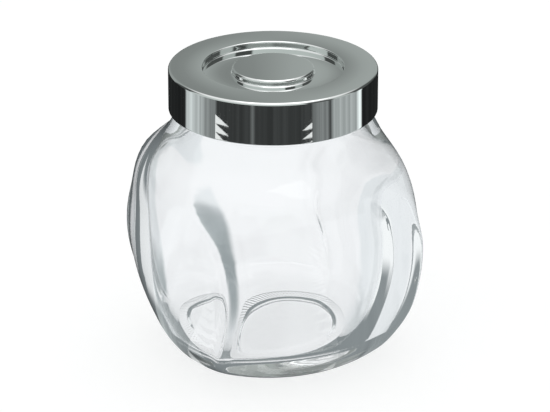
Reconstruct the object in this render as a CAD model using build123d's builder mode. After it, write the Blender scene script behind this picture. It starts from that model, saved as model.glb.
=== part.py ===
from build123d import *
import math
import os

os.makedirs("parts", exist_ok=True)

# A spice jar: a moulded glass globe with four soft corners that lean over as they rise, a round neck,
# and a bright cap with a snapped-in plug and a soft ring that grips the neck.
# It stands on the XY plane with its axis on Z. All lengths are in millimetres.

# The glass
body_radius = 33.8
base_radius = 19.9
shoulder_height = 61.9
shoulder_step = 1.3
neck_radius = 21.2
neck_wall = 2.3
neck_height = 6.6
neck_root_rounding = 1.0
rim_rounding = 0.8
wall = 3.2
base_thickness = 7.4
floor_inset = 4.1
heel_height = 10.0
bearing_width = 3.0
push_up_depth = 1.2
push_up_slope_width = 2.0

# The globe's outline: levels as shares of the shoulder height, and how far it swells there from the straight
# taper between the base and the shoulder out to the body radius, as shares of the way
level_shares = (0, 0.02, 0.05, 0.12, 0.25, 0.42, 0.6, 0.755, 0.885, 1)
swell_shares = (0, 0.185, 0.38, 0.632, 0.876, 1, 0.998, 0.92, 0.415, 0)

# Where the front left corner stands round the axis, in degrees from the front, at a few levels
turn_level_shares = (0, 0.32, 0.64, 0.96)
corner_turns = (-32, -18.5, -22, -53.5)

# How angular the globe is: 1 in both is a circle. The side arcs' and corner arcs' radii are shares of the
# distance from the axis to a side, at the base and in the middle. Both end as a circle at the shoulder.
corner_count = 4
base_side_share = 1.2
base_corner_share = 0.5
middle_side_share = 1.85
middle_corner_share = 0.2
base_blend_end_share = 0.26
circle_blend_start_share = 0.74
circle_margin_share = 0.0005
globe_levels = 20

# The cap
cap_wall = 1.2
cap_edge_rounding = 0.7
cap_rim_width = 8.15
recess_depth = 1.7
recess_width = 7.05
recess_edge_rounding = 0.4
knob_drop = 0.15
knob_edge_rounding = 0.6
bead_depth = 0.35
bead_height = 0.8

# The plug
plug_thickness = 1.1
plug_skirt_depth = 5.6
plug_skirt_wall = 1.6
snap_wall_thickness = 1.0
plug_tip_rounding = 0.4

# The ring
ring_band = 0.6
ring_height = 2.6
ring_rib_radius = 0.4
ring_drop = 1.5

# Clearances
running_gap = 0.05
seat_gap = 0.1
fit_gap = 0.1
plug_gap = 0.5
skirt_gap = 0.3
neck_gap = 2.6

# Sizes and places that follow from these
bore_radius = neck_radius - neck_wall
shoulder_radius = neck_radius + shoulder_step
floor_radius = base_radius - floor_inset
cap_inner_radius = neck_radius + neck_gap
cap_radius = cap_inner_radius + cap_wall
recess_radius = cap_radius - cap_rim_width
knob_radius = recess_radius - recess_width
rim_level = shoulder_height + neck_height
plug_bottom_level = rim_level + seat_gap
plug_top_level = plug_bottom_level + plug_thickness
cap_floor_level = plug_top_level + fit_gap + cap_wall
cap_top_level = cap_floor_level + recess_depth
cap_bottom_level = shoulder_height + skirt_gap
cap_ceiling_level = cap_top_level - cap_wall
plug_radius = cap_inner_radius - fit_gap
ring_radius = bore_radius - running_gap
ring_inner_radius = ring_radius - ring_rib_radius - ring_band
ring_top_level = plug_bottom_level - ring_drop


def smooth_value(place, places, values):
    """A smooth curve through hand-set values, with slopes taken from their neighbours."""
    last = len(places) - 1
    i = max(k for k in range(last) if places[k] <= place)
    slopes = []
    for k in (i, i + 1):
        before, after = max(k - 1, 0), min(k + 1, last)
        slopes.append((values[after] - values[before]) / (places[after] - places[before]))
    step = places[i + 1] - places[i]
    t = (place - places[i]) / step
    start = values[i] * (1 + 2 * t) + step * slopes[0] * t
    end = values[i + 1] * (3 - 2 * t) - step * slopes[1] * (1 - t)
    return start * (1 - t) ** 2 + end * t**2


def eased(value, low, high):
    """0 below low, 1 above high, and a smooth step between them."""
    t = min(1, max(0, (value - low) / (high - low)))
    return t * t * (3 - 2 * t)


def mixed(amount, start, end):
    return start + (end - start) * amount


def globe_radius(height):
    """Mean outer radius of the globe at a height."""
    share = height / shoulder_height
    taper_radius = mixed(share, base_radius, shoulder_radius)
    return mixed(smooth_value(share, level_shares, swell_shares), taper_radius, body_radius)


def corner_turn(height):
    """Direction of a corner in degrees from the X axis, on one curve through the four places given."""
    share = height / shoulder_height
    turn = 0
    for k, place in enumerate(turn_level_shares):
        others = [other for other in turn_level_shares if other != place]
        weight = math.prod((share - other) / (place - other) for other in others)
        turn += weight * corner_turns[k]
    return turn - 90


def squareness(height):
    """The side and corner arcs' shares at a height, from the base up to the round shoulder."""
    share = height / shoulder_height
    to_base = 1 - eased(share, 0, base_blend_end_share)
    to_circle = eased(share, circle_blend_start_share, 1)
    side = mixed(to_base, mixed(to_circle, middle_side_share, 1), base_side_share)
    corner = mixed(to_base, mixed(to_circle, middle_corner_share, 1), base_corner_share)
    return side, corner


def soft_polygon(height, mean_radius, side_share, corner_share, turn):
    """A face at a height: side arcs joined by tangent corner arcs, given by its mean radius."""
    # The distances here are shares of the one from the axis to the middle of a side.
    side_share = max(side_share, 1 + circle_margin_share)
    corner_share = min(corner_share, 1 - circle_margin_share)
    side_offset = side_share - 1
    half_turn = math.pi / corner_count
    half_sum = side_offset * math.cos(half_turn)
    corner_distance = math.sqrt(half_sum**2 - side_offset**2 + (side_share - corner_share) ** 2) - half_sum
    diagonal = complex(math.cos(half_turn), math.sin(half_turn))
    join_angle = math.atan2(corner_distance * diagonal.imag, corner_distance * diagonal.real + side_offset)
    join = complex(side_share * math.cos(join_angle) - side_offset, side_share * math.sin(join_angle))
    far_join = join.conjugate() * diagonal**2
    tip = (corner_distance + corner_share) * diagonal
    # The area of a side's wedge and of a corner's wedge give the radius of the circle of like size.
    side_area = side_share**2 * join_angle - side_offset * join.imag
    corner_angle = half_turn - join_angle
    corner_area = corner_share**2 * corner_angle + corner_distance * corner_share * math.sin(corner_angle)
    scale = mean_radius / math.sqrt(corner_count * (side_area + corner_area) / math.pi)
    with BuildSketch(Plane.XY.offset(height)) as face:
        with BuildLine():
            for side in range(corner_count):
                angle = math.radians(turn) + half_turn * (1 + 2 * side)
                direction = scale * complex(math.cos(angle), math.sin(angle))
                points = [stop * direction for stop in (join.conjugate(), 1, join, tip, far_join)]
                places = [(point.real, point.imag) for point in points]
                ThreePointArc(*places[:3])
                ThreePointArc(*places[2:])
        make_face()
    return face.sketch


def globe_section(height):
    """The globe's outside at a height."""
    return soft_polygon(height, globe_radius(height), *squareness(height), corner_turn(height))


def wall_slope(height):
    """How fast the globe's mean radius grows with height."""
    return (globe_radius(height) - globe_radius(height - wall)) / wall


def wall_inside_radius(height):
    """Inner radius that leaves the wall its mean thickness, square to the outside."""
    return globe_radius(height) - wall * math.hypot(1, wall_slope(height))


def round_edges(part, radius, level):
    """The round edges of one radius at one level."""
    circles = part.edges().filter_by(GeomType.CIRCLE)
    return circles.filter_by(
        lambda edge: math.isclose(edge.radius, radius) and math.isclose(edge.arc_center.Z, level)
    )


def corners_at(sketch, *places):
    """The sketch's corners nearest to the places given."""
    return [sketch.vertices().sort_by_distance(place)[0] for place in places]


# Jar body: the globe, its round neck, the cavity with its heel, the bore, and the push-up under the base
with BuildPart() as jar_body:
    # The sections stand closer together at the heel and the shoulder, where the outline turns fastest.
    spread = [(1 - math.cos(math.pi * k / globe_levels)) / 2 for k in range(globe_levels + 1)]
    loft(sections=[globe_section(shoulder_height * share) for share in spread])
    with BuildSketch(Plane.XY.offset(shoulder_height)):
        Circle(neck_radius)
    extrude(amount=neck_height)
    fillet(round_edges(jar_body, neck_radius, shoulder_height), neck_root_rounding)

    # The inside is round all the way up, so the corners hold more glass than the sides.
    heel_radius = wall_inside_radius(heel_height)
    heel_turn_radius = heel_radius - wall_slope(heel_height) * (heel_height - base_thickness)
    wall_heights = [mixed(share, heel_height, shoulder_height) for share in spread]
    wall_points = [(wall_inside_radius(height), height) for height in wall_heights[:-1]]
    with BuildSketch(Plane.XZ):
        with BuildLine():
            Line((0, base_thickness), (floor_radius, base_thickness))
            Bezier((floor_radius, base_thickness), (heel_turn_radius, base_thickness), wall_points[0])
            Spline(*wall_points, (bore_radius, shoulder_height))
            Polyline((bore_radius, shoulder_height), (bore_radius, rim_level), (0, rim_level), (0, base_thickness))
        make_face()
    revolve(axis=Axis.Z, mode=Mode.SUBTRACT)
    fillet(round_edges(jar_body, neck_radius, rim_level), rim_rounding)
    fillet(round_edges(jar_body, bore_radius, rim_level), rim_rounding)

    push_up_radius = globe_radius(0) - bearing_width
    push_up_edge = soft_polygon(0, push_up_radius, *squareness(0), corner_turn(0))
    push_up_top_radius = push_up_radius - push_up_slope_width
    push_up_top = soft_polygon(push_up_depth, push_up_top_radius, *squareness(0), corner_turn(0))
    loft(sections=[push_up_edge, push_up_top], mode=Mode.SUBTRACT)
jar_body.part.label = "jar_body"
export_step(jar_body.part, "parts/jar_body.step")

# Lid cover: one thin shell with a flat top, a round recess with a knob in it, and a skirt with a snap bead
with BuildPart() as lid_cover:
    knob_level = cap_top_level - knob_drop
    hollow_level = cap_floor_level - cap_wall
    recess_outer_radius = recess_radius + cap_wall
    knob_inner_radius = knob_radius - cap_wall
    with BuildSketch(Plane.XZ) as shell:
        with BuildLine():
            Polyline(
                (0, knob_level),
                (knob_radius, knob_level),
                (knob_radius, cap_floor_level),
                (recess_radius, cap_floor_level),
                (recess_radius, cap_top_level),
                (cap_radius, cap_top_level),
                (cap_radius, cap_bottom_level),
                (cap_inner_radius, cap_bottom_level),
                (cap_inner_radius, cap_ceiling_level),
                (recess_outer_radius, cap_ceiling_level),
                (recess_outer_radius, hollow_level),
                (knob_inner_radius, hollow_level),
                (knob_inner_radius, knob_level - cap_wall),
                (0, knob_level - cap_wall),
                close=True,
            )
        make_face()
        recess_corners = corners_at(
            shell,
            (recess_radius, cap_top_level),
            (recess_radius, cap_floor_level),
            (knob_radius, cap_floor_level),
        )
        fillet(recess_corners, recess_edge_rounding)
        fillet(corners_at(shell, (knob_radius, knob_level)), knob_edge_rounding)
        fillet(corners_at(shell, (cap_radius, cap_top_level)), cap_edge_rounding)
    revolve(axis=Axis.Z)
    bead_top_level = plug_bottom_level - fit_gap
    with BuildSketch(Plane.XZ):
        with BuildLine():
            Polyline(
                (cap_inner_radius, bead_top_level),
                (cap_inner_radius - bead_depth, bead_top_level - bead_height / 2),
                (cap_inner_radius, bead_top_level - bead_height),
                close=True,
            )
        make_face()
    revolve(axis=Axis.Z)
lid_cover.part.label = "lid_cover"
export_step(lid_cover.part, "parts/lid_cover.step")

# Lid plug: a disc that closes the mouth, a wall up into the cover, and a grooved skirt down into the neck
with BuildPart() as lid_plug:
    with BuildSketch(Plane.XY.offset(plug_bottom_level)):
        Circle(plug_radius)
    extrude(amount=plug_thickness)
    with BuildSketch(Plane.XY.offset(plug_top_level)):
        Circle(plug_radius)
        Circle(plug_radius - snap_wall_thickness, mode=Mode.SUBTRACT)
    extrude(amount=cap_ceiling_level - fit_gap - plug_top_level)
    plug_skirt_radius = bore_radius - plug_gap
    with BuildSketch(Plane.XY.offset(plug_bottom_level)):
        Circle(plug_skirt_radius)
        Circle(plug_skirt_radius - plug_skirt_wall, mode=Mode.SUBTRACT)
    extrude(amount=-plug_skirt_depth)
    fillet(round_edges(lid_plug, plug_skirt_radius, plug_bottom_level - plug_skirt_depth), plug_tip_rounding)
    with BuildSketch(Plane.XY.offset(ring_top_level + running_gap)):
        Circle(bore_radius)
        Circle(ring_inner_radius - running_gap, mode=Mode.SUBTRACT)
    extrude(amount=-(ring_height + 2 * running_gap), mode=Mode.SUBTRACT)
lid_plug.part.label = "lid_plug"
export_step(lid_plug.part, "parts/lid_plug.step")

# Seal ring: a flat soft band with a round rib at its top and at its bottom
with BuildPart() as seal_ring:
    with BuildSketch(Plane.XZ):
        with Locations((ring_inner_radius, ring_top_level)):
            Rectangle(ring_band, ring_height, align=(Align.MIN, Align.MAX))
        rib_radius_from_axis = ring_inner_radius + ring_band
        rib_levels = (ring_top_level - ring_rib_radius, ring_top_level - ring_height + ring_rib_radius)
        with Locations(*[(rib_radius_from_axis, level) for level in rib_levels]):
            Circle(ring_rib_radius)
    revolve(axis=Axis.Z)
seal_ring.part.label = "seal_ring"
export_step(seal_ring.part, "parts/seal_ring.step")
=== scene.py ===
import math

import bmesh
import bpy
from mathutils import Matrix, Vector, noise


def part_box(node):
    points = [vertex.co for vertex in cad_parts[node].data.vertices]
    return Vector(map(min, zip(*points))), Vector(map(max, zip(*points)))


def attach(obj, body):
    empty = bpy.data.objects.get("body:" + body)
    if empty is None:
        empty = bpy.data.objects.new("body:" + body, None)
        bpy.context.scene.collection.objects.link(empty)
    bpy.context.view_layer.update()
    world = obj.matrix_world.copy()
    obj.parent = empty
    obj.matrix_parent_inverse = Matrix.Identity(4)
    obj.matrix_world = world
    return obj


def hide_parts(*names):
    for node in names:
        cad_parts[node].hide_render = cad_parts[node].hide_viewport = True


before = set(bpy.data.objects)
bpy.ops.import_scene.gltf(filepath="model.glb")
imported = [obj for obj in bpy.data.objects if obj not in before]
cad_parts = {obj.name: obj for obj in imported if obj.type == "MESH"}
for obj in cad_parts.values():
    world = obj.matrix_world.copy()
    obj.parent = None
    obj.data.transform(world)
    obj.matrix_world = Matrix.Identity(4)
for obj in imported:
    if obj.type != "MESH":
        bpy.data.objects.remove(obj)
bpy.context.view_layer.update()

# The jar body: one thick clear glass moulding, blown round inside, with four soft corners outside. These
# lean over as they rise and hold more glass than the sides. It stands on a stippled ring round a shallow
# push-up, and its round neck and fire-polished rim are hidden under the lid.
mm = 0.001
rim_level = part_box("jar_body")[1].z
neck_height = 6.6 * mm
shoulder_level = rim_level - neck_height
globe_radius = 33.8 * mm
base_radius = 19.9 * mm
neck_radius = 21.2 * mm
shoulder_radius = neck_radius + 1.3 * mm
bore_radius = neck_radius - 2.3 * mm
wall = 3.2 * mm
floor_level = 7.4 * mm
floor_radius = base_radius - 4.1 * mm
heel_level = 10.0 * mm
ring_width = 3.0 * mm
push_up_depth = 1.2 * mm
push_up_slope = 2.0 * mm
neck_root_rounding = 1.0 * mm
rim_rounding = 0.8 * mm
level_shares = (0, 0.02, 0.05, 0.12, 0.25, 0.42, 0.6, 0.755, 0.885, 1)
swell_shares = (0, 0.185, 0.38, 0.632, 0.876, 1, 0.998, 0.92, 0.415, 0)
turn_level_shares = (0, 0.32, 0.64, 0.96)
corner_turns = (-32, -18.5, -22, -53.5)
corner_count = 4
base_side_share, base_corner_share = 1.2, 0.5
middle_side_share, middle_corner_share = 1.85, 0.2
base_blend_end_share, circle_blend_start_share = 0.26, 0.74
circle_margin_share = 0.0005
glass_steps = 384
glass_levels = 56
edge_rows = 5
push_up_shares = (0, 0.3, 0.6, 0.85)
push_up_rows = 6
ring_rows = 10
heel_rows = 12
floor_shares = (0.9, 0.75, 0.5, 0.25, 0)
stipple_dots = 96
stipple_rows = 3
stipple_depth = 0.18 * mm
crease_share = 0.024
crease_half_turn = math.radians(3.2)
crease_start_shares = (0.02, 0.1)
crease_end_shares = (0.5, 0.7)
waver_height = 0.05 * mm
waver_length = 11 * mm
inside_waver_shift = 100
merge_distance = 0.001 * mm
close = 0.01 * mm
smooth_turn = math.radians(40)


def smooth_value(place, places, values):
    """A smooth curve through given values, with slopes taken from their neighbours."""
    last = len(places) - 1
    i = max(k for k in range(last) if places[k] <= place)
    slopes = []
    for k in (i, i + 1):
        before, after = max(k - 1, 0), min(k + 1, last)
        slopes.append((values[after] - values[before]) / (places[after] - places[before]))
    span = places[i + 1] - places[i]
    t = (place - places[i]) / span
    start = values[i] * (1 + 2 * t) + span * slopes[0] * t
    end = values[i + 1] * (3 - 2 * t) - span * slopes[1] * (1 - t)
    return start * (1 - t) ** 2 + end * t**2


def eased(value, low, high):
    """0 below low, 1 above high, and a smooth step between them."""
    t = min(1, max(0, (value - low) / (high - low)))
    return t * t * (3 - 2 * t)


def mixed(amount, start, end):
    return start + (end - start) * amount


def outer_radius(level):
    """Mean outer radius of the globe at a level: its swell out from a straight taper."""
    share = min(1, max(0, level / shoulder_level))
    taper_radius = mixed(share, base_radius, shoulder_radius)
    return mixed(smooth_value(share, level_shares, swell_shares), taper_radius, globe_radius)


def outer_slope(level):
    """How fast the globe's mean radius grows with the level."""
    return (outer_radius(level) - outer_radius(level - wall)) / wall


def inner_radius(level):
    """Inner radius that leaves the wall its mean thickness, square to the outside."""
    return outer_radius(level) - wall * math.hypot(1, outer_slope(level))


def corner_direction(level):
    """Direction of one corner round the axis at a level, on a curve through the four places given."""
    share = level / shoulder_level
    turn = 0
    for k, place in enumerate(turn_level_shares):
        others = [other for other in turn_level_shares if other != place]
        turn += corner_turns[k] * math.prod((share - other) / (place - other) for other in others)
    return math.radians(turn - 90)


def soft_polygon(level):
    """Reach of a soft-cornered outline in each direction at a level, for a mean radius of 1."""
    share = level / shoulder_level
    to_base = 1 - eased(share, 0, base_blend_end_share)
    to_circle = eased(share, circle_blend_start_share, 1)
    side = mixed(to_base, mixed(to_circle, middle_side_share, 1), base_side_share)
    corner = mixed(to_base, mixed(to_circle, middle_corner_share, 1), base_corner_share)
    side = max(side, 1 + circle_margin_share)
    corner = min(corner, 1 - circle_margin_share)
    offset = side - 1
    half_turn = math.pi / corner_count
    half_sum = offset * math.cos(half_turn)
    distance = math.sqrt(half_sum**2 - offset**2 + (side - corner) ** 2) - half_sum
    join_turn = math.atan2(distance * math.sin(half_turn), distance * math.cos(half_turn) + offset)
    join_x = side * math.cos(join_turn) - offset
    join_y = side * math.sin(join_turn)
    join_angle = math.atan2(join_y, join_x)
    corner_turned = half_turn - join_turn
    side_area = side**2 * join_turn - offset * join_y
    corner_area = corner**2 * corner_turned + distance * corner * math.sin(corner_turned)
    scale = 1 / math.sqrt(corner_count * (side_area + corner_area) / math.pi)
    turn = corner_direction(level)

    def reach(direction):
        from_side = abs((direction - turn) % (2 * half_turn) - half_turn)
        if from_side < join_angle:
            across = offset * math.sin(from_side)
            return scale * (math.sqrt(side**2 - across**2) - offset * math.cos(from_side))
        from_corner = half_turn - from_side
        across = distance * math.sin(from_corner)
        return scale * (math.sqrt(corner**2 - across**2) + distance * math.cos(from_corner))

    return reach


def crease(level, direction):
    """Height share of the soft crease along each corner, strongest low on the globe."""
    share = level / shoulder_level
    quarter = 2 * math.pi / corner_count
    off = (direction - corner_direction(level) + quarter / 2) % quarter - quarter / 2
    fade = eased(share, *crease_start_shares) * (1 - eased(share, *crease_end_shares))
    return crease_share * fade * math.exp(-((off / crease_half_turn) ** 2))


def arc(centre, radius, start, end, count):
    """Points of a profile on an arc, between two angles in degrees."""
    angles = [math.radians(mixed(k / count, start, end)) for k in range(count + 1)]
    return [(centre[0] + radius * math.cos(a), centre[1] + radius * math.sin(a)) for a in angles]


def spun(profile, steps, closed=False):
    """A mesh spun from a profile of (radius, level) points, with its seam and poles closed."""
    mesh = bmesh.new()
    ends = [mesh.verts.new((radius, 0, level)) for radius, level in profile]
    lines = [mesh.edges.new(pair) for pair in zip(ends, ends[1:])]
    if closed:
        lines.append(mesh.edges.new((ends[-1], ends[0])))
    full_turn = {"cent": (0, 0, 0), "axis": (0, 0, 1), "angle": 2 * math.pi}
    bmesh.ops.spin(mesh, geom=ends + lines, steps=steps, use_merge=True, **full_turn)
    bmesh.ops.remove_doubles(mesh, verts=mesh.verts, dist=merge_distance)
    bmesh.ops.recalc_face_normals(mesh, faces=mesh.faces)
    return mesh


def piece(name, mesh, material, body, node):
    """Makes an object of a mesh, smooth but for its sharp edges, and puts it in its CAD node's place."""
    for face in mesh.faces:
        face.smooth = True
    for edge in mesh.edges:
        edge.smooth = edge.calc_face_angle(0) < smooth_turn
    data = bpy.data.meshes.new(name)
    mesh.to_mesh(data)
    mesh.free()
    data.materials.append(material)
    item = bpy.data.objects.new(name, data)
    bpy.context.scene.collection.objects.link(item)
    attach(item, body)
    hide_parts(node)


def cosine_levels(low, high, count):
    """Levels between two, closer together near both ends."""
    return [mixed((1 - math.cos(math.pi * k / count)) / 2, low, high) for k in range(count + 1)]


ring_outer = outer_radius(0)
ring_inner = ring_outer - ring_width
push_up_radius = ring_inner - push_up_slope
outline = [(share * push_up_radius, push_up_depth) for share in push_up_shares]
for k in range(push_up_rows + 1):
    level = push_up_depth * (1 - eased(k, 0, push_up_rows))
    outline.append((push_up_radius + push_up_slope * k / push_up_rows, level))
outline += [(ring_inner + ring_width * k / ring_rows, 0) for k in range(1, ring_rows + 1)]
outline += [(outer_radius(level), level) for level in cosine_levels(0, shoulder_level, glass_levels)[1:]]
neck_root = (neck_radius + neck_root_rounding, shoulder_level + neck_root_rounding)
outline += arc(neck_root, neck_root_rounding, 270, 180, edge_rows)
outline += arc((neck_radius - rim_rounding, rim_level - rim_rounding), rim_rounding, 0, 90, edge_rows)
outline += arc((bore_radius + rim_rounding, rim_level - rim_rounding), rim_rounding, 90, 180, edge_rows)
inside_levels = cosine_levels(heel_level, shoulder_level, glass_levels)
outline += [(max(inner_radius(level), bore_radius), level) for level in reversed(inside_levels[1:])]
heel_radius = inner_radius(heel_level)
heel_height = heel_level - floor_level
heel_turn_radius = heel_radius - outer_slope(heel_level) * heel_height
for k in range(heel_rows + 1):
    t = k / heel_rows
    outline.append((
        heel_radius * (1 - t) ** 2 + heel_turn_radius * 2 * t * (1 - t) + floor_radius * t**2,
        floor_level + heel_height * (1 - t) ** 2,
    ))
outline += [(floor_radius * share, floor_level) for share in floor_shares]

glass_mesh = spun(outline, glass_steps)
reaches = {}
for vertex in glass_mesh.verts:
    level = vertex.co.z
    radius = math.hypot(vertex.co.x, vertex.co.y)
    direction = math.atan2(vertex.co.y, vertex.co.x)
    if level > shoulder_level:
        continue
    underside = level < push_up_depth + close and radius < ring_outer + close
    outside = underside or radius > outer_radius(level) - wall / 2
    fade = eased(level, 0, heel_level) * eased(shoulder_level - level, 0, heel_level)
    place = vertex.co / waver_length + Vector((0, 0, 0 if outside else inside_waver_shift))
    factor = 1
    if not underside and radius > floor_radius:
        factor += waver_height * fade * noise.noise(place) / radius
    if outside:
        key = 0 if underside else round(level / mm, 4)
        if key not in reaches:
            reaches[key] = soft_polygon(key * mm)
        factor *= reaches[key](direction)
        factor += crease(key * mm, direction)
    if underside and radius > ring_inner - close:
        across = (radius - ring_inner) / ring_width
        dots = math.cos(stipple_dots * direction) * math.cos(stipple_rows * math.pi * across)
        vertex.co.z = stipple_depth * (0.5 + 0.5 * dots)
    vertex.co.x, vertex.co.y = vertex.co.x * factor, vertex.co.y * factor


def node(tree, kind, **settings):
    """Adds a shader node and sets its properties."""
    made = tree.nodes.new(kind)
    for name, value in settings.items():
        setattr(made, name, value)
    return made


def feed(tree, socket, value):
    """Gives a socket a plain value, or links another socket to it."""
    if isinstance(value, bpy.types.NodeSocket):
        tree.links.new(value, socket)
    else:
        socket.default_value = value


def calc(tree, operation, *values):
    """A maths node's result."""
    made = node(tree, "ShaderNodeMath", operation=operation)
    for k, value in enumerate(values):
        feed(tree, made.inputs[k], value)
    return made.outputs[0]


def step(tree, value, low, high, low_value=0, high_value=1):
    """A value mapped smoothly from one range to another."""
    made = node(tree, "ShaderNodeMapRange", interpolation_type="SMOOTHSTEP")
    for k, number in enumerate((value, low, high, low_value, high_value)):
        feed(tree, made.inputs[k], number)
    return made.outputs[0]


# The shared group gives a slow waver and a fine mottle over the surface, as every moulded skin has.
mottle_low, mottle_high = 0.3, 0.7
mottle_fineness = 6
skin = bpy.data.node_groups.new("moulded_skin", "ShaderNodeTree")
for name, kind, side in (
    ("Waver Size", "NodeSocketFloat", "INPUT"),
    ("Mottle Size", "NodeSocketFloat", "INPUT"),
    ("Low", "NodeSocketFloat", "INPUT"),
    ("High", "NodeSocketFloat", "INPUT"),
    ("Height", "NodeSocketFloat", "OUTPUT"),
    ("Level", "NodeSocketFloat", "OUTPUT"),
):
    skin.interface.new_socket(name, in_out=side, socket_type=kind)
skin_in = node(skin, "NodeGroupInput")
skin_out = node(skin, "NodeGroupOutput")
skin_place = node(skin, "ShaderNodeTexCoord").outputs["Object"]
waver = node(skin, "ShaderNodeTexNoise")
mottle = node(skin, "ShaderNodeTexNoise")
for texture, size, detail in ((waver, "Waver Size", 2), (mottle, "Mottle Size", 4)):
    feed(skin, texture.inputs["Vector"], skin_place)
    feed(skin, texture.inputs["Scale"], calc(skin, "DIVIDE", 1, skin_in.outputs[size]))
    texture.inputs["Detail"].default_value = detail
feed(skin, skin_out.inputs["Height"], waver.outputs["Fac"])
skin_ends = skin_in.outputs["Low"], skin_in.outputs["High"]
feed(skin, skin_out.inputs["Level"], step(skin, mottle.outputs["Fac"], mottle_low, mottle_high, *skin_ends))


def moulded(name, colour, roughness, waver_size, bump, **settings):
    """A moulded material: a plain colour with the shared skin's uneven roughness and slow waver."""
    material = bpy.data.materials.new(name)
    material.use_nodes = True
    tree = material.node_tree
    shader = tree.nodes["Principled BSDF"]
    shader.inputs["Base Color"].default_value = (*colour, 1)
    for key, value in settings.items():
        shader.inputs[key.replace("_", " ")].default_value = value
    group = node(tree, "ShaderNodeGroup", node_tree=skin)
    values = (waver_size, waver_size / mottle_fineness, *roughness)
    for key, value in zip(("Waver Size", "Mottle Size", "Low", "High"), values):
        group.inputs[key].default_value = value
    feed(tree, shader.inputs["Roughness"], group.outputs["Level"])
    relief = node(tree, "ShaderNodeBump")
    relief.inputs["Strength"].default_value = 1
    relief.inputs["Distance"].default_value = bump
    feed(tree, relief.inputs["Height"], group.outputs["Height"])
    feed(tree, shader.inputs["Normal"], relief.outputs[0])
    return material, tree, shader


glass, glass_tree, glass_shader = moulded(
    "clear_glass", (0.984, 0.991, 0.993), (0, 0.004), 9 * mm, 0.02 * mm, IOR=1.5, Transmission_Weight=1
)
# Light that is still going round inside the thick glass after a few turns is stopped and replaced by a
# painted glow coloured by its place on the glass: painted dark reflections of the front room at the foot,
# near the neck and round the back, and a painted pale ceiling elsewhere.
most_turns = 2.5
dark_end, pale_end = (0.24, 0.27, 0.28, 1), (0.93, 0.96, 0.97, 1)
shadow_clearness = (0.86, 0.88, 0.88, 1)
dark_foot_left, dark_foot_right, dark_foot_side = 13 * mm, 21 * mm, 10 * mm
dark_foot_fade = 4 * mm
dark_neck, dark_neck_end = 38 * mm, 44 * mm
dark_back_low, dark_back_high, dark_back_fade = 6 * mm, 17 * mm, 3 * mm
back_rise, back_rise_end = 10 * mm, 20 * mm
pale_side, pale_side_end = 28 * mm, 31 * mm
glass_place = node(glass_tree, "ShaderNodeSeparateXYZ")
feed(glass_tree, glass_place.inputs[0], node(glass_tree, "ShaderNodeTexCoord").outputs["Object"])
right, back, height = (glass_place.outputs[axis] for axis in "XYZ")
dark_foot = step(glass_tree, right, -dark_foot_side, dark_foot_side, dark_foot_left, dark_foot_right)
past_foot = calc(glass_tree, "SUBTRACT", height, dark_foot)
over_foot = step(glass_tree, past_foot, -dark_foot_fade, dark_foot_fade)
under_neck = step(glass_tree, height, dark_neck, dark_neck_end, 1, 0)
dark_back = step(glass_tree, height, back_rise, back_rise_end, dark_back_low, dark_back_high)
before_back = step(glass_tree, calc(glass_tree, "SUBTRACT", back, dark_back), 0, dark_back_fade, 1, 0)
pale_share = calc(glass_tree, "MULTIPLY", over_foot, under_neck)
pale_share = calc(glass_tree, "MULTIPLY", pale_share, before_back)
pale_share = calc(glass_tree, "MAXIMUM", pale_share, step(glass_tree, right, pale_side, pale_side_end))
painted_trapped_colour = node(glass_tree, "ShaderNodeMix", data_type="RGBA")
feed(glass_tree, painted_trapped_colour.inputs["Factor"], pale_share)
feed(glass_tree, painted_trapped_colour.inputs["A"], dark_end)
feed(glass_tree, painted_trapped_colour.inputs["B"], pale_end)
# The painted glow: an emission in place of the light still turning inside the glass.
painted_trapped_glow = node(glass_tree, "ShaderNodeEmission")
feed(glass_tree, painted_trapped_glow.inputs["Color"], painted_trapped_colour.outputs["Result"])
glass_light = node(glass_tree, "ShaderNodeLightPath")
glass_clear = node(glass_tree, "ShaderNodeBsdfTransparent")
glass_clear.inputs["Color"].default_value = shadow_clearness
glass_mix = node(glass_tree, "ShaderNodeMixShader")
feed(glass_tree, glass_mix.inputs[0], glass_light.outputs["Is Shadow Ray"])
feed(glass_tree, glass_mix.inputs[1], glass_shader.outputs[0])
feed(glass_tree, glass_mix.inputs[2], glass_clear.outputs[0])
turned_often = calc(glass_tree, "GREATER_THAN", glass_light.outputs["Glossy Depth"], most_turns)
turns_mix = node(glass_tree, "ShaderNodeMixShader")
feed(glass_tree, turns_mix.inputs[0], turned_often)
feed(glass_tree, turns_mix.inputs[1], glass_mix.outputs[0])
feed(glass_tree, turns_mix.inputs[2], painted_trapped_glow.outputs[0])
feed(glass_tree, glass_tree.nodes["Material Output"].inputs["Surface"], turns_mix.outputs[0])
piece("glass_jar", glass_mesh, glass, "jar", "jar_body")

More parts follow.
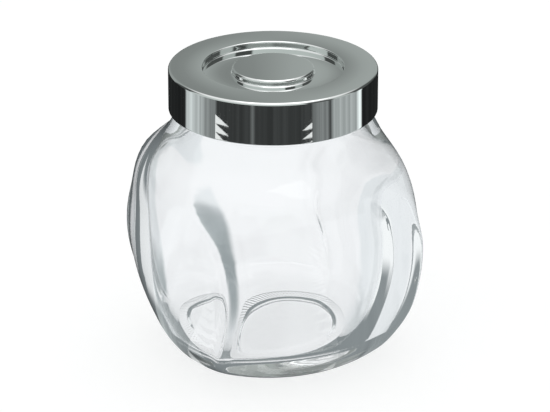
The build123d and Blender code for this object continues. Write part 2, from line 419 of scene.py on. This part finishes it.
# The plug: a milky plastic moulding snapped up into the cover. Its disc closes the mouth, the wall round it
# clips behind the cover's bead, and its skirt reaches down into the neck with a groove for the soft ring.
plug_low, plug_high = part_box("lid_plug")
ring_low, ring_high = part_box("seal_ring")
plug_radius = plug_high.x
plug_skirt_depth = 5.6 * mm
plug_skirt_wall = 1.6 * mm
plug_thickness = 1.1 * mm
snap_wall = 1.0 * mm
plug_gap = 0.5 * mm
running_gap = 0.05 * mm
ring_band = 0.6 * mm
rib_radius = 0.4 * mm
plug_bevel = 0.15 * mm
plug_bevel_rows = 2
plug_corner_turn = math.radians(60)
plug_steps = 192
disc_bottom = plug_low.z + plug_skirt_depth
disc_top = disc_bottom + plug_thickness
skirt_outer = bore_radius - plug_gap
skirt_inner = skirt_outer - plug_skirt_wall
ring_inner_radius = ring_high.x - rib_radius - ring_band
groove_radius = ring_inner_radius - running_gap
plug_outline = [
    (0, disc_bottom),
    (skirt_inner, disc_bottom),
    (skirt_inner, plug_low.z),
    (skirt_outer, plug_low.z),
    (skirt_outer, ring_low.z - running_gap),
    (groove_radius, ring_low.z - running_gap),
    (groove_radius, ring_high.z + running_gap),
    (skirt_outer, ring_high.z + running_gap),
    (skirt_outer, disc_bottom),
    (plug_radius, disc_bottom),
    (plug_radius, plug_high.z),
    (plug_radius - snap_wall, plug_high.z),
    (plug_radius - snap_wall, disc_top),
    (0, disc_top),
]
plug_mesh = spun(plug_outline, plug_steps)
plug_corners = [edge for edge in plug_mesh.edges if edge.calc_face_angle(0) > plug_corner_turn]
bmesh.ops.bevel(
    plug_mesh, geom=plug_corners, offset=plug_bevel, segments=plug_bevel_rows,
    affect="EDGES", profile=0.5, material=-1,
)
milky = moulded(
    "pale_plastic", (0.86, 0.87, 0.86), (0.3, 0.42), 5 * mm, 0.02 * mm,
    Subsurface_Weight=0.2, Subsurface_Scale=2 * mm,
)[0]
piece("plug", plug_mesh, milky, "lid", "lid_plug")

# The soft ring: a moulded band that sits loose in the plug's groove. The two round ribs on it press on the
# glass bore and keep the lid tight and in place.
rib_rows = 10
band_radius = ring_inner_radius + ring_band
ring_outline = [(ring_inner_radius, ring_low.z)]
ring_outline += arc((band_radius, ring_low.z + rib_radius), rib_radius, -90, 90, rib_rows)
ring_outline += arc((band_radius, ring_high.z - rib_radius), rib_radius, -90, 90, rib_rows)
ring_outline += [(ring_inner_radius, ring_high.z)]
ring_mesh = spun(ring_outline, plug_steps, closed=True)
soft = moulded("soft_seal", (0.82, 0.83, 0.82), (0.42, 0.55), 3 * mm, 0.01 * mm)[0]
piece("soft_ring", ring_mesh, soft, "seal", "seal_ring")

# The lid cover: one thin plastic moulding, plated bright all over, with a round finger recess and a low
# knob in its flat top. Its straight skirt goes down over the neck and stops just above the shoulder. A
# small bead inside it holds the plug.
cover_low, cover_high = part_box("lid_cover")
cover_radius = cover_high.x
cover_top = cover_high.z
cover_bottom = cover_low.z
cover_wall = 1.2 * mm
cover_edge = 0.7 * mm
recess_radius = 16.85 * mm
recess_depth = 1.7 * mm
recess_edge = 0.4 * mm
knob_radius = 9.8 * mm
knob_top = cover_top - 0.15 * mm
knob_edge = 0.6 * mm
skirt_lip = 0.25 * mm
edge_hold = 0.15 * mm
bead_depth = 0.35 * mm
bead_height = 0.8 * mm
bead_gap = 0.1 * mm
knob_rows, recess_rows, cover_rows, lip_rows = 8, 6, 10, 4
cover_steps = 256
recess_floor = cover_top - recess_depth
cover_inner = cover_radius - cover_wall
ceiling = cover_top - cover_wall
hollow_level = recess_floor - cover_wall
bead_top = disc_bottom - bead_gap
cover_outline = [(0, knob_top)]
cover_outline += arc((knob_radius - knob_edge, knob_top - knob_edge), knob_edge, 90, 0, knob_rows)
recess_foot, recess_brim = recess_floor + recess_edge, cover_top - recess_edge
cover_outline += arc((knob_radius + recess_edge, recess_foot), recess_edge, 180, 270, recess_rows)
cover_outline += arc((recess_radius - recess_edge, recess_foot), recess_edge, 270, 360, recess_rows)
cover_outline += arc((recess_radius + recess_edge, recess_brim), recess_edge, 180, 90, recess_rows)
cover_outline += arc((cover_radius - cover_edge, cover_top - cover_edge), cover_edge, 90, 0, cover_rows)
cover_outline.append((cover_radius, cover_top - cover_edge - edge_hold))
cover_outline.append((cover_radius, cover_bottom + skirt_lip + edge_hold))
cover_outline += arc((cover_radius - skirt_lip, cover_bottom + skirt_lip), skirt_lip, 0, -90, lip_rows)
cover_outline += arc((cover_inner + skirt_lip, cover_bottom + skirt_lip), skirt_lip, 270, 180, lip_rows)
cover_outline += [
    (cover_inner, bead_top - bead_height),
    (cover_inner - bead_depth, bead_top - bead_height / 2),
    (cover_inner, bead_top),
    (cover_inner, ceiling),
    (recess_radius + cover_wall, ceiling),
    (recess_radius + cover_wall, hollow_level),
    (knob_radius - cover_wall, hollow_level),
    (knob_radius - cover_wall, knob_top - cover_wall),
    (0, knob_top - cover_wall),
]
cover_mesh = spun(cover_outline, cover_steps)
chrome = moulded("bright_chrome", (0.83, 0.845, 0.84), (0.01, 0.025), 7 * mm, 0.004 * mm, Metallic=1)[0]
piece("plated_cover", cover_mesh, chrome, "lid", "lid_cover")

# The floor: a plain white paper sweep. What the camera sees is white with the jar's soft shadow. For other
# rays the floor glows with painted surroundings. What shows through the glass is the white paper, a painted
# pale table beside it and a painted grey card on the left, a dark sheet that puts a dark streak in the
# glass.
# What the plating mirrors is a painted reflection of a room round the paper: dark in front, paler screens
# at the sides and black behind them, with painted bright teeth and painted streaks.
floor_half_width = 4
floor_mesh = bmesh.new()
bmesh.ops.create_grid(floor_mesh, x_segments=1, y_segments=1, size=floor_half_width)
floor_data = bpy.data.meshes.new("floor")
floor_mesh.to_mesh(floor_data)
floor_mesh.free()
floor = bpy.data.objects.new("floor", floor_data)
bpy.context.scene.collection.objects.link(floor)
paper_material = bpy.data.materials.new("white_paper")
paper_material.use_nodes = True
floor_data.materials.append(paper_material)
tree = paper_material.node_tree
tree.nodes.clear()


def ramp(tree, value, stops):
    """Greys or colours by a value from 0 to 1, from listed stops."""
    made = node(tree, "ShaderNodeValToRGB")
    feed(tree, made.inputs[0], value)
    elements = made.color_ramp.elements
    while len(elements) < len(stops):
        elements.new(1)
    for element, (place, colour) in zip(elements, stops):
        element.position = place
        element.color = (*colour, 1)
    return made.outputs[0]


def bearing_from_front(tree, across, behind):
    """Degrees round from the front, with the right-hand side positive."""
    angle = calc(tree, "ARCTAN2", across, calc(tree, "MULTIPLY", behind, -1))
    return calc(tree, "MULTIPLY", angle, math.degrees(1))


def greys_round(tree, bearing, tint, greys):
    """Tinted greys round the jar, from (degrees, grey) stops."""
    stops = [((degrees + 180) / 360, [grey * part for part in tint]) for degrees, grey in greys]
    return ramp(tree, calc(tree, "DIVIDE", calc(tree, "ADD", bearing, 180), 360), stops)


paper_width = 18 * mm
paper_widening = 0.2
paper_reach = 0.5
paper_edge = 6 * mm
# The grey card is a painted dark sheet in the floor's glow, which the glass shows as a dark streak.
card_left, card_left_edge = -75 * mm, -60 * mm
card_right_edge, card_right = -5 * mm, 25 * mm
card_front, card_front_edge = -5 * mm, 10 * mm
card_back_edge, card_back = 32 * mm, 62 * mm
table_colour = (0.84, 0.87, 0.89, 1)
painted_card_colour = (0.33, 0.37, 0.385, 1)
paper_colour = (0.97, 0.975, 0.99, 1)
place = node(tree, "ShaderNodeSeparateXYZ")
feed(tree, place.inputs[0], node(tree, "ShaderNodeTexCoord").outputs["Object"])
across, behind = place.outputs["X"], place.outputs["Y"]
squares = [calc(tree, "POWER", value, 2) for value in (across, behind)]
distance = calc(tree, "SQRT", calc(tree, "ADD", *squares))
widening = calc(tree, "MULTIPLY", calc(tree, "MAXIMUM", behind, 0), paper_widening)
from_middle = calc(tree, "SUBTRACT", calc(tree, "ABSOLUTE", across), widening)
on_paper = step(tree, from_middle, paper_width, paper_width + paper_edge, 1, 0)
before_end = step(tree, behind, paper_reach, paper_reach + paper_edge, 1, 0)
on_paper = calc(tree, "MULTIPLY", on_paper, before_end)
through_colour = node(tree, "ShaderNodeMix", data_type="RGBA")
feed(tree, through_colour.inputs["Factor"], on_paper)
on_card = step(tree, across, card_left, card_left_edge)
on_card = calc(tree, "MULTIPLY", on_card, step(tree, across, card_right_edge, card_right, 1, 0))
on_card = calc(tree, "MULTIPLY", on_card, step(tree, behind, card_back_edge, card_back, 1, 0))
on_card = calc(tree, "MULTIPLY", on_card, step(tree, behind, card_front, card_front_edge))
beside_paper = node(tree, "ShaderNodeMix", data_type="RGBA")
feed(tree, beside_paper.inputs["Factor"], on_card)
feed(tree, beside_paper.inputs["A"], table_colour)
feed(tree, beside_paper.inputs["B"], painted_card_colour)
feed(tree, through_colour.inputs["A"], beside_paper.outputs["Result"])
feed(tree, through_colour.inputs["B"], paper_colour)

# Painted reflection for the plating: grey screens and dark gaps round the jar, with painted streaks.
bearing = bearing_from_front(tree, across, behind)
screen_tint = (0.93, 1, 1)
screen_greys = (
    (-106, 0.02), (-103, 0.68), (-84, 0.66), (-82, 0.32), (-80, 0.6), (-78, 0.56), (-75, 0.27),
    (-63, 0.31), (-60, 0.05), (-23, 0.05), (-22, 0.2), (-20, 0.2), (-19, 0.05), (40, 0.055), (41.5, 0.24),
    (58, 0.25), (60, 0.08), (62, 0.08), (64, 0.45), (86, 0.48), (98, 0.52), (101, 0.98), (106, 0.95),
    (108, 0.02),
)
screens = greys_round(tree, bearing, screen_tint, screen_greys)
streaks_per_degree = 0.13
streak_detail = 3
streak_low, streak_high = 0.35, 0.68
dim_streak, bright_streak = 0.75, 1.15
streaks = node(tree, "ShaderNodeTexNoise", noise_dimensions="1D")
feed(tree, streaks.inputs["W"], calc(tree, "MULTIPLY", bearing, streaks_per_degree))
streaks.inputs["Scale"].default_value = 1
streaks.inputs["Detail"].default_value = streak_detail
streaked = step(tree, streaks.outputs["Fac"], streak_low, streak_high, dim_streak, bright_streak)
mirrored = node(tree, "ShaderNodeMix", data_type="RGBA", blend_type="MULTIPLY")
mirrored.inputs["Factor"].default_value = 1
feed(tree, mirrored.inputs["A"], screens)
feed(tree, mirrored.inputs["B"], streaked)
# Painted highlights: bright teeth in the floor's glow that the plating mirrors as small bright triangles.
tooth_length = 7 * mm
tooth_root = 190 * mm
teeth_middle = -8
teeth_inner, teeth_outer = 38, 54
teeth_right_end = 40.5
painted_tooth_colour = (0.92, 0.94, 0.94, 1)
past_root = calc(tree, "SUBTRACT", distance, tooth_root)
tooth_share = calc(tree, "FRACT", calc(tree, "DIVIDE", past_root, tooth_length))
turned = calc(tree, "ABSOLUTE", calc(tree, "SUBTRACT", bearing, teeth_middle))
tooth_edge = calc(tree, "MULTIPLY_ADD", tooth_share, teeth_outer - teeth_inner, teeth_inner)
in_painted_teeth = calc(tree, "GREATER_THAN", turned, tooth_edge)
for value, limit in ((turned, teeth_outer), (bearing, teeth_right_end), (past_root, tooth_length)):
    in_painted_teeth = calc(tree, "MULTIPLY", in_painted_teeth, calc(tree, "LESS_THAN", value, limit))
with_painted_teeth = node(tree, "ShaderNodeMix", data_type="RGBA")
feed(tree, with_painted_teeth.inputs["Factor"], in_painted_teeth)
feed(tree, with_painted_teeth.inputs["A"], mirrored.outputs["Result"])
feed(tree, with_painted_teeth.inputs["B"], painted_tooth_colour)

sweep_grey = 0.35
sweep_glow = 0.72
light_path = node(tree, "ShaderNodeLightPath")
unseen = node(tree, "ShaderNodeMix", data_type="RGBA")
glossy_ray, through_ray = (light_path.outputs[f"Is {kind} Ray"] for kind in ("Glossy", "Transmission"))
mirror_ray = calc(tree, "SUBTRACT", glossy_ray, through_ray)
feed(tree, unseen.inputs["Factor"], mirror_ray)
feed(tree, unseen.inputs["A"], through_colour.outputs["Result"])
feed(tree, unseen.inputs["B"], with_painted_teeth.outputs["Result"])
unseen_light = node(tree, "ShaderNodeEmission")
feed(tree, unseen_light.inputs["Color"], unseen.outputs["Result"])
paper = node(tree, "ShaderNodeBsdfDiffuse")
paper.inputs["Color"].default_value = (sweep_grey, sweep_grey, sweep_grey, 1)
paper_light = node(tree, "ShaderNodeEmission")
paper_light.inputs["Strength"].default_value = sweep_glow
seen_paper = node(tree, "ShaderNodeAddShader")
feed(tree, seen_paper.inputs[0], paper.outputs[0])
feed(tree, seen_paper.inputs[1], paper_light.outputs[0])
floor_mix = node(tree, "ShaderNodeMixShader")
feed(tree, floor_mix.inputs[0], light_path.outputs["Is Camera Ray"])
feed(tree, floor_mix.inputs[1], unseen_light.outputs[0])
feed(tree, floor_mix.inputs[2], seen_paper.outputs[0])
feed(tree, node(tree, "ShaderNodeOutputMaterial").inputs["Surface"], floor_mix.outputs[0])

# The room: white where the camera looks past the paper. Elsewhere it has pale grey green screens with dark
# gaps between them, darker towards the back, and a bright ceiling.
ceiling_start, ceiling_full = 0.55, 0.8
ceiling_colour = (0.95, 0.96, 0.96, 1)
room = bpy.data.worlds.new("room")
bpy.context.scene.world = room
room.use_nodes = True
tree = room.node_tree
tree.nodes.clear()
place = node(tree, "ShaderNodeSeparateXYZ")
feed(tree, place.inputs[0], node(tree, "ShaderNodeTexCoord").outputs["Generated"])
bearing = bearing_from_front(tree, place.outputs["X"], place.outputs["Y"])
wall_tint = (0.92, 1, 0.97)
wall_greys = (
    (-180, 0.33), (-178, 0.255), (-150, 0.36), (-129, 0.37), (-125, 0.08), (-100, 0.08), (-96, 0.6),
    (-60, 0.66), (34, 0.69), (38, 0.08), (66, 0.08), (70, 0.52), (93, 0.5), (97, 0.09), (140, 0.09),
    (150, 0.4), (178, 0.41), (180, 0.33),
)
walls = greys_round(tree, bearing, wall_tint, wall_greys)
room_mix = node(tree, "ShaderNodeMix", data_type="RGBA")
feed(tree, room_mix.inputs["Factor"], step(tree, place.outputs["Z"], ceiling_start, ceiling_full))
feed(tree, room_mix.inputs["A"], walls)
feed(tree, room_mix.inputs["B"], ceiling_colour)
room_light = node(tree, "ShaderNodeBackground")
feed(tree, room_light.inputs["Color"], room_mix.outputs["Result"])
white_light = node(tree, "ShaderNodeBackground")
white_light.inputs["Color"].default_value = (1, 1, 1, 1)
room_choice = node(tree, "ShaderNodeMixShader")
feed(tree, room_choice.inputs[0], node(tree, "ShaderNodeLightPath").outputs["Is Camera Ray"])
feed(tree, room_choice.inputs[1], room_light.outputs[0])
feed(tree, room_choice.inputs[2], white_light.outputs[0])
feed(tree, node(tree, "ShaderNodeOutputWorld").inputs["Surface"], room_choice.outputs[0])

# The lamp: one large soft light overhead.
lamp_data = bpy.data.lights.new("overhead", "AREA")
lamp_data.energy = 3
lamp_data.size = 0.9
lamp = bpy.data.objects.new("overhead", lamp_data)
lamp.location = (0.1, 0.1, 1.3)
bpy.context.scene.collection.objects.link(lamp)

# The camera: set at the photograph's height and tilt, aimed from the middle of the lid's top.
image_width = 550
lens_pixels = 3280
look_down = math.radians(20.5)
aim_below_lid = math.radians(2.447)
stand_off = 0.780
lid_centre_pixel = 273.1
camera_data = bpy.data.cameras.new("camera")
camera_data.sensor_width = 36
camera_data.lens = lens_pixels * camera_data.sensor_width / image_width
camera_data.clip_start = 0.01
camera_data.shift_x = (image_width / 2 - lid_centre_pixel) / image_width
camera = bpy.data.objects.new("camera", camera_data)
camera.location = (0, -stand_off * math.cos(look_down), cover_top + stand_off * math.sin(look_down))
camera.rotation_euler = (math.pi / 2 - look_down - aim_below_lid, 0, 0)
bpy.context.scene.collection.objects.link(camera)
bpy.context.scene.camera = camera
bpy.context.scene.view_settings.view_transform = "Standard"
